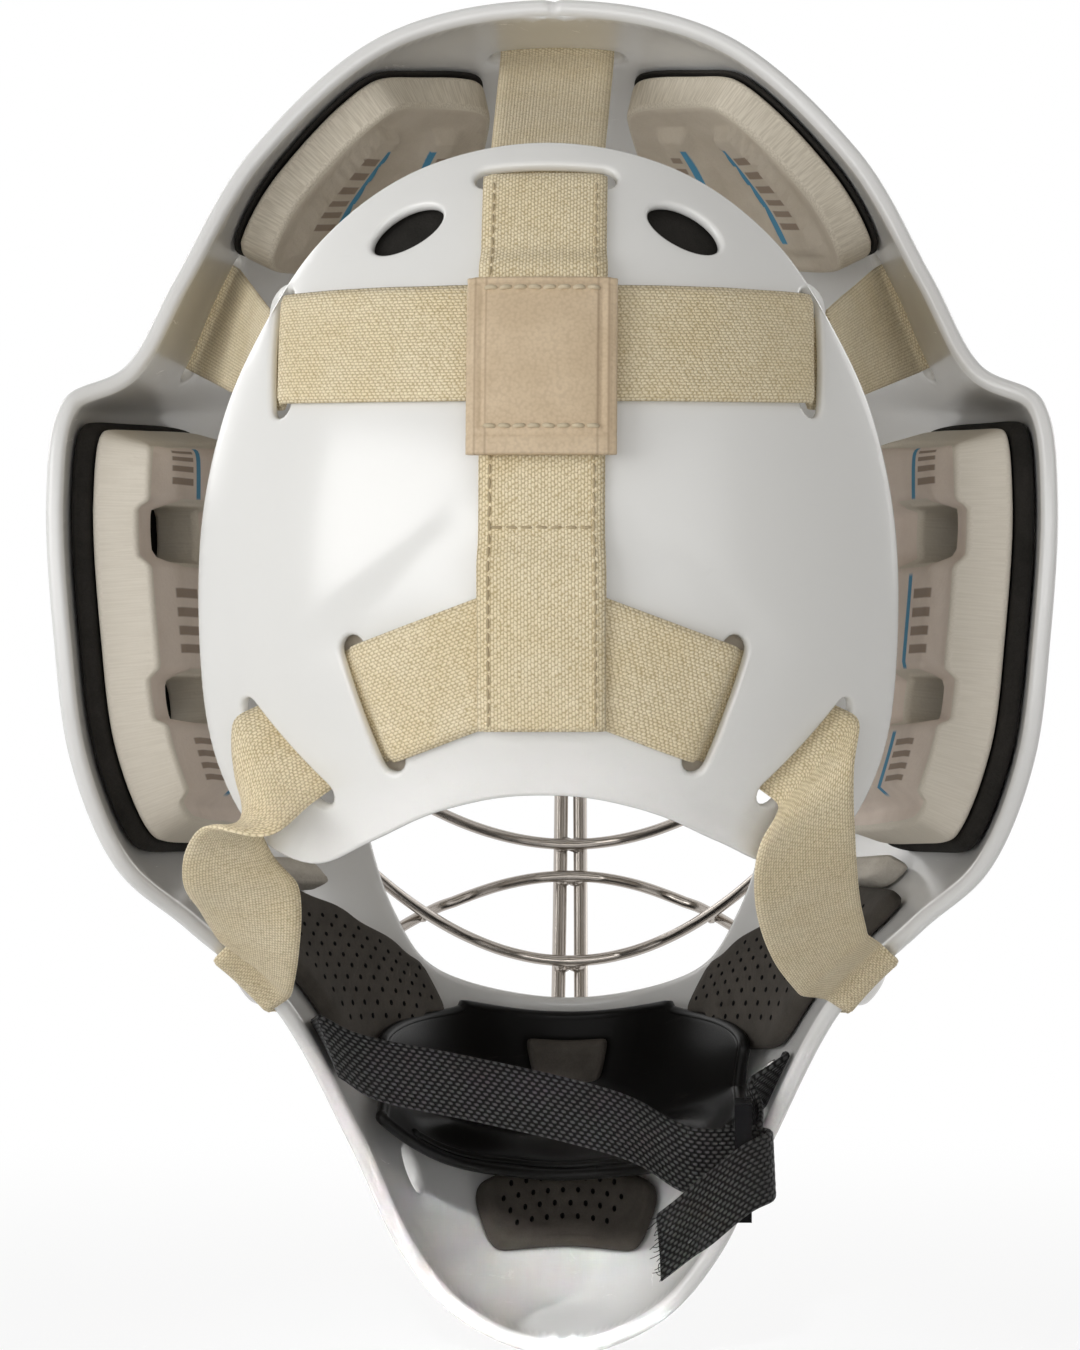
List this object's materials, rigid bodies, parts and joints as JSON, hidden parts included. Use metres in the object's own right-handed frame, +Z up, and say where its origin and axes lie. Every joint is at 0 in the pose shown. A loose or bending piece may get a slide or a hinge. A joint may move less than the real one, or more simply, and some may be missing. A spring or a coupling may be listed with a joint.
{
  "type": "goalie mask",
  "caption": "Ice hockey goalie mask: a rounded white shell with ear wings and jaw, a bowed wire cage over the face, inner foam pads and a back plate hung on elastic straps.",
  "frame": {"origin": "middle of the wearer's head, between the ear canals", "axes": "+Z up, +Y the way the wearer looks, +X the wearer's right"},
  "size_m": [0.2568, 0.2837, 0.359],
  "materials": {
    "gloss_white_shell": "gloss white composite",
    "gloss_white_plate": "gloss white moulding",
    "cream_elastic": "woven cream elastic",
    "tan_tab": "tan stitched tab",
    "beige_foam": "closed-cell beige foam",
    "charcoal_foam": "charcoal backing foam",
    "dark_liner": "dark perforated liner foam",
    "black_moulding": "black satin moulding",
    "black_webbing": "black woven webbing",
    "cage_steel": "nickel plated steel wire",
    "fastener_steel": "bright steel fittings"
  },
  "bodies": {
    "mask": {"cage_brow_arch": "cage_steel", "cage_center_upright_left": "cage_steel", "cage_center_upright_right": "cage_steel", "cage_chin_arch": "cage_steel", "cage_chin_bar": "cage_steel", "cage_clip_lower_left": "fastener_steel", "cage_clip_lower_right": "fastener_steel", "cage_clip_upper_left": "fastener_steel", "cage_clip_upper_right": "fastener_steel", "cage_eye_bar": "cage_steel", "cage_mouth_bar": "cage_steel", "cage_rim_wire": "cage_steel", "cage_screw_lower_left": "fastener_steel", "cage_screw_lower_right": "fastener_steel", "cage_screw_upper_left": "fastener_steel", "cage_screw_upper_right": "fastener_steel", "cage_short_upright_left": "cage_steel", "cage_short_upright_right": "cage_steel", "cheek_foam_left": "beige_foam", "cheek_foam_right": "beige_foam", "chin_cup": "black_moulding", "chin_cup_pad": "dark_liner", "chin_cup_spacer": "charcoal_foam", "chin_liner_pad": "dark_liner", "chin_strap": "black_webbing", "chin_strap_anchor": "black_webbing", "chin_strap_rivet_left": "fastener_steel", "chin_strap_rivet_right": "fastener_steel", "chin_strap_tail": "black_webbing", "crown_snap": "fastener_steel", "forehead_backing_left": "charcoal_foam", "forehead_backing_right": "charcoal_foam", "forehead_pad_left": "beige_foam", "forehead_pad_right": "beige_foam", "jaw_pad_left": "dark_liner", "jaw_pad_right": "dark_liner", "jaw_snap_left": "fastener_steel", "jaw_snap_right": "fastener_steel", "lower_side_strap_left": "cream_elastic", "lower_side_strap_right": "cream_elastic", "mask_shell": "gloss_white_shell", "side_backing_left": "charcoal_foam", "side_backing_right": "charcoal_foam", "side_pad_left": "beige_foam", "side_pad_right": "beige_foam", "temple_snap_left": "fastener_steel", "temple_snap_right": "fastener_steel", "top_strap": "cream_elastic", "upper_side_strap_left": "cream_elastic", "upper_side_strap_right": "cream_elastic"},
    "back_plate": {"back_plate": "gloss_white_plate", "cross_strap": "cream_elastic", "vertical_strap": "cream_elastic", "keeper_tab": "tan_tab", "v_strap_left": "cream_elastic", "v_strap_right": "cream_elastic", "plate_pad_upper": "beige_foam", "plate_pad_lower": "beige_foam"},
    "chin_slider": {"chin_strap_slider": "black_moulding"}
  },
  "joints": [
    {"name": "back_plate_tilt", "type": "hinge", "parent": "mask", "child": "back_plate", "pos_m": [0, 0.0222, 0.1526], "axis": [-1, 0, 0], "range_deg": [0, 25], "stiffness_Nm_per_rad": 1.2, "deforming": ["top_strap", "upper_side_strap_left", "upper_side_strap_right", "lower_side_strap_left", "lower_side_strap_right"]},
    {"name": "chin_slider_slide", "type": "slide", "parent": "mask", "child": "chin_slider", "axis": [1, 0, 0], "range_m": [-0.01, 0], "deforming": ["chin_strap_anchor", "chin_strap_tail"]}
  ]
}
